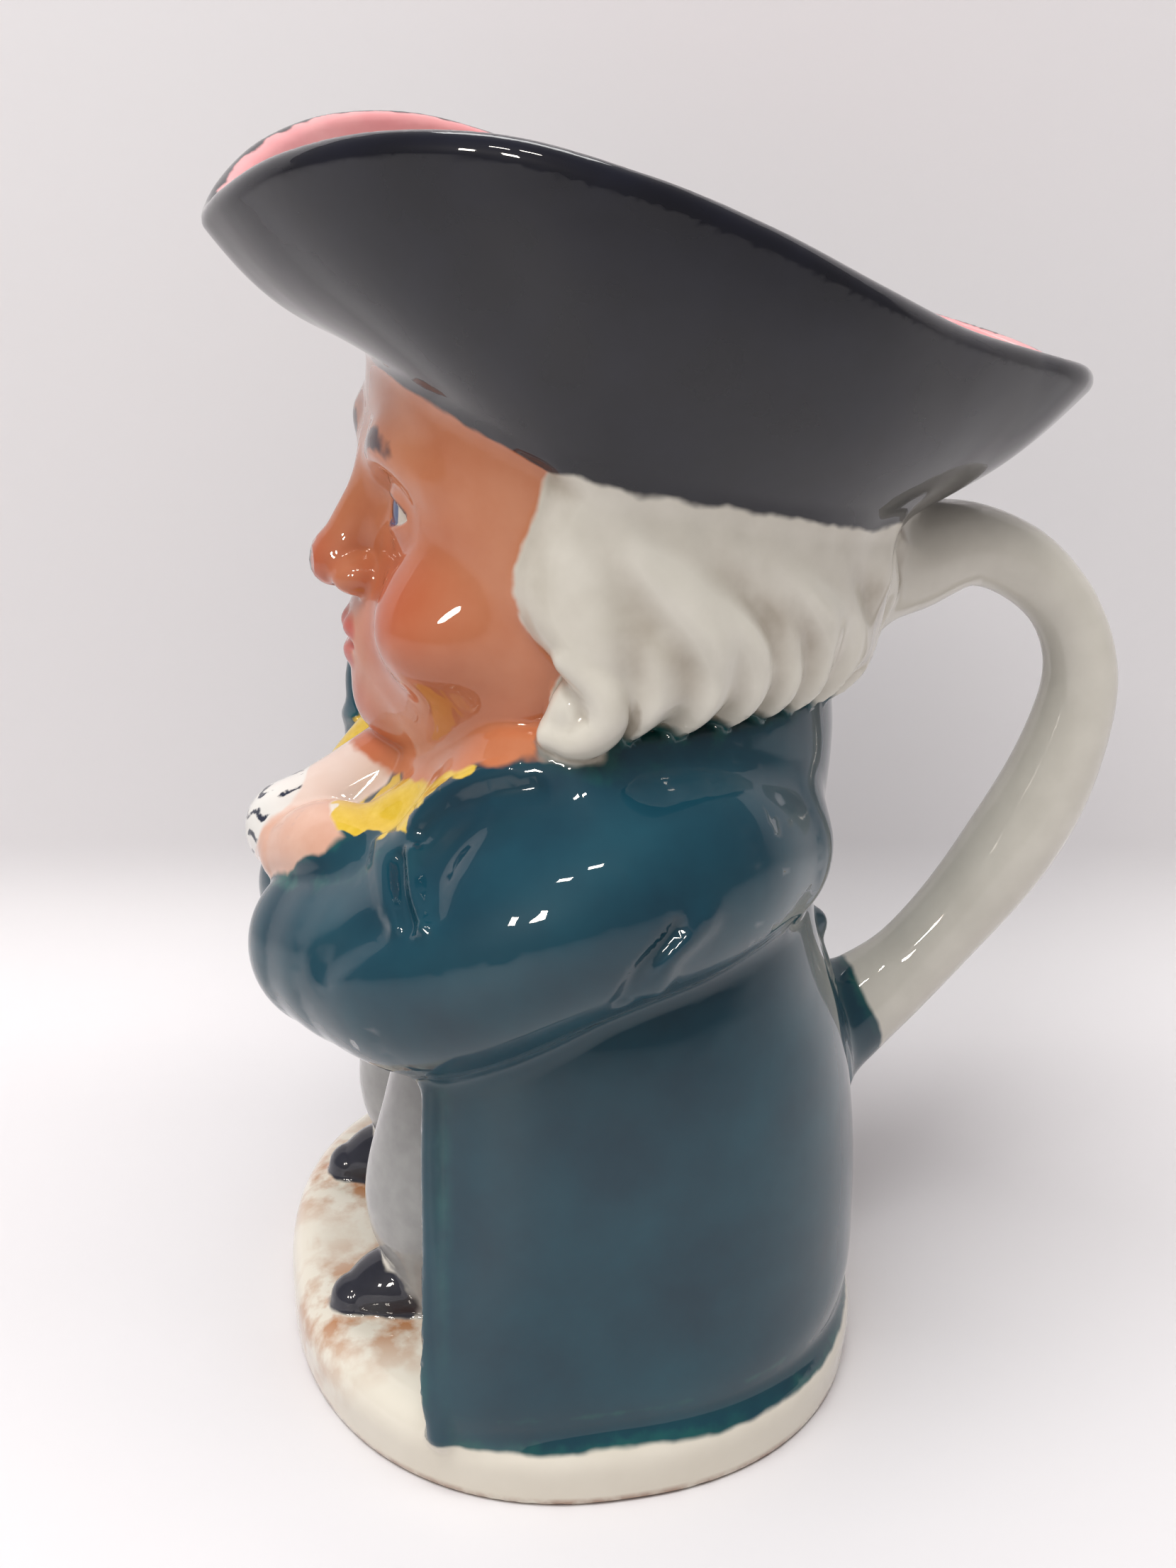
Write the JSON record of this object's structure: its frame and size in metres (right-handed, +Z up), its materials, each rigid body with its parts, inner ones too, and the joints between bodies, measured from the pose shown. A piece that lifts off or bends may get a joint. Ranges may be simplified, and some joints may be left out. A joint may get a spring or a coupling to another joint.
{
  "type": "toby jug",
  "caption": "Glazed earthenware jug in the shape of a stout standing figure in a cocked hat, hollow and open at the hat, with a loop handle at the back.",
  "frame": {"origin": "centre of the plinth's flat underside, on the surface that the jug stands on", "axes": "+Z up, -Y the way the figure faces, +Y towards the handle, +X the figure's left hand side"},
  "size_m": [0.102, 0.1308, 0.175],
  "materials": {
    "glazed_earthenware": "cast earthenware, painted under a clear high-gloss lead-type glaze: dark teal coat, black hat with a pink inside, cream wig, handle and plinth, orange-tan skin, yellow waistcoat, grey breeches, black shoes"
  },
  "bodies": {
    "root": {"jug": "glazed_earthenware"}
  },
  "joints": []
}
